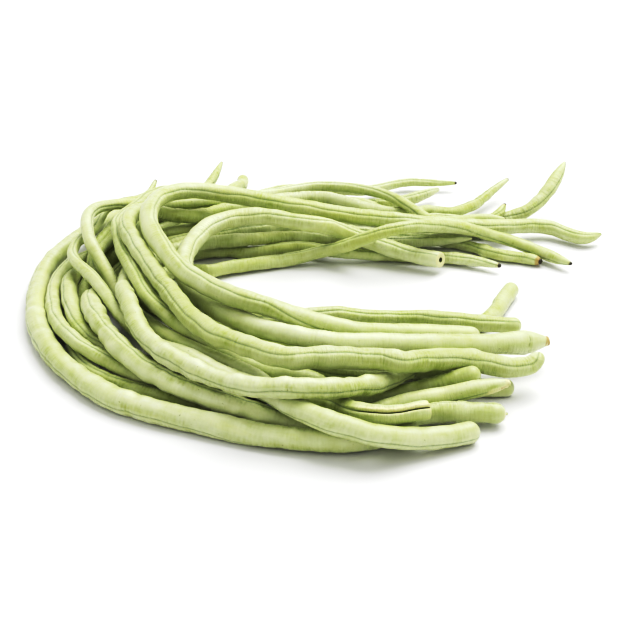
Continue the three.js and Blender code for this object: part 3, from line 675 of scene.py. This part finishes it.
def pod_finish():
    """Fresh pod skin: pale yellow-green, deeper in drifts along the pod, a thin grey-green line at the seam,
    and brown, black or cream where its ends have dried. Painted shade darkens its creases and hollows, and a
    painted highlight pales its rises."""
    f = Finish("pod_skin", SKIN_SURFACE)
    straight, _ = f.attribute("straight")
    _, (seam, rise, tone) = f.attribute("seam_tone_and_highlight")
    _, (brown, black, cream) = f.attribute("dry")
    _, (hollow, crease, creased) = f.attribute("painted_shade_creases")

    drift = f.pattern(straight, "drift")
    mottle = f.pattern(straight, "mottle")
    streaks = f.pattern(straight, "streaks")
    cross = f.pattern(straight, "cross")
    paleness = f.sum("MULTIPLY_ADD", tone, 0.55, 0.2)
    paleness = f.add(paleness, drift, 1.4)
    paleness = f.add(paleness, mottle, 0.45)
    paleness = f.add(paleness, streaks, 0.2)
    paleness = f.add(paleness, cross, 0.24)
    # Painted highlight: paler on the rises over seeds and bumps.
    paleness = f.add(paleness, rise, 0.1)
    # Painted shade: darker in the creases.
    paleness = f.add(paleness, crease, -0.28)
    skin = f.blend(f.between(paleness, -0.3, 1.25), DEEP_GREEN, PALE_GREEN)
    yellow = f.pattern(straight, "yellow")
    skin = f.blend(f.between(yellow, 0.0, 0.22, 0, 0.3), skin, YELLOW_PATCH)

    broken = f.pattern(straight, "broken")
    shown = f.between(broken, -0.2, 0.1, 0.25, 0.75)
    line = f.sum("MULTIPLY", f.between(f.add(seam, broken, 0.5), 0.5, 0.12), shown)
    skin = f.blend(line, skin, SEAM_LINE)
    rim = f.sum("MULTIPLY", f.between(seam, 0.5, 1.0), f.between(seam, 2.2, 1.2))
    skin = f.blend(f.sum("MULTIPLY", rim, 0.25), skin, SEAM_RIM)

    specks = f.pattern(straight, "specks")
    skin = f.blend(f.between(specks, 0.225, 0.27, 0, 0.6), skin, SPECK)
    scuffs = f.pattern(straight, "scuffs")
    skin = f.blend(f.between(scuffs, 0.235, 0.28, 0, 0.5), skin, SCUFF)

    ragged = f.sum("MULTIPLY", cross, 1.2)
    skin = f.blend(f.between(f.add(cream, ragged), 0.2, 0.8, 0, 0.85), skin, DRY_CREAM)
    skin = f.blend(f.between(f.add(brown, ragged), 0.35, 0.8, 0, 0.8), skin, DRY_BROWN)
    skin = f.blend(f.between(f.add(black, ragged), 0.35, 0.8, 0, 0.95), skin, DRY_BLACK)
    # Painted shade: near black in the openings and grooves of the ends.
    skin = f.blend(f.between(hollow, 0.2, 0.9), skin, HOLLOW_SHADE)
    f.put(f.shader.inputs["Base Color"], skin)
    f.put(f.shader.inputs["Roughness"], f.between(mottle, -0.2, 0.2, 0.4, 0.55))

    near_seam = f.between(seam, 7.0, 0.8, 0.35, 1.0)
    strength = f.sum("MULTIPLY", near_seam, f.sum("MULTIPLY_ADD", creased, 0.75, 0.4))
    ridges = f.sum("MULTIPLY", f.pattern(straight, "ridges"), strength)
    ridged = f.relief(ridges, RIDGE_DEPTH, 0.7)
    pores = f.pattern(straight, "pores")
    f.put(f.shader.inputs["Normal"], f.relief(pores, PORE_DEPTH, 0.5, ridged))
    return f.material


# The bunch, its table, light and camera.
def add_bunch():
    """One skin over each pod of the frame."""
    finish = pod_finish()
    for k, (name, looks) in enumerate(LOOKS.items()):
        skin = PodSkin(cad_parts[name], looks, np.random.default_rng(FIRST_DRAW + k))
        mesh = grid_mesh(name + "_skin", skin.places(), skin.attributes())
        mesh.materials.append(finish)
        pod = bpy.data.objects.new(name + "_skin", mesh)
        bpy.context.scene.collection.objects.link(pod)
        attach(pod, "root")
        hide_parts(name)


def add_table():
    """A square sheet far larger than the picture, a hair under the pods."""
    corners = [(x * TABLE_HALF, y * TABLE_HALF, -TABLE_DROP) for x, y in ((-1, -1), (1, -1), (1, 1), (-1, 1))]
    mesh = bpy.data.meshes.new("table")
    mesh.from_pydata(corners, [], [(0, 1, 2, 3)])
    mesh.materials.append(Finish("table_white", TABLE_SURFACE).material)
    table = bpy.data.objects.new("table", mesh)
    bpy.context.scene.collection.objects.link(table)


def add_light():
    """A square soft light over the back, turned to aim at the middle of the bunch."""
    light = bpy.data.lights.new("over_the_back", "AREA")
    light.size = LIGHT_WIDTH
    light.energy = LIGHT_WATTS
    lamp = bpy.data.objects.new("over_the_back", light)
    lamp.location = LIGHT_PLACE
    x, y, z = LIGHT_PLACE
    lamp.rotation_euler = (np.arctan2(np.hypot(x, y), z), 0, np.arctan2(x, -y))
    bpy.context.scene.collection.objects.link(lamp)


def add_room():
    """Even white light from all round."""
    world = bpy.data.worlds.new("white_room")
    world.use_nodes = True
    background = world.node_tree.nodes["Background"]
    background.inputs["Color"].default_value = (1, 1, 1, 1)
    background.inputs["Strength"].default_value = ROOM_LIGHT
    bpy.context.scene.world = world


def add_contrast():
    """Plain colours with a soft S-curve on them: the shade a little darker, the lit skin a little lighter."""
    view = bpy.context.scene.view_settings
    view.view_transform = "Standard"
    view.use_curve_mapping = True
    curve = view.curve_mapping.curves[3]
    for seen, shown in TONES:
        curve.points.new(seen, shown)
    view.curve_mapping.update()


def add_camera():
    """The eye of the view, level from side to side and looking down along +Y."""
    camera = bpy.data.cameras.new("view")
    camera.lens = LENS
    camera.sensor_width = SENSOR
    seer = bpy.data.objects.new("view", camera)
    seer.location = EYE
    seer.rotation_euler = (np.pi / 2 - LOOKING_DOWN, 0, 0)
    bpy.context.scene.collection.objects.link(seer)
    bpy.context.scene.camera = seer


add_bunch()
add_table()
add_light()
add_room()
add_camera()
add_contrast()
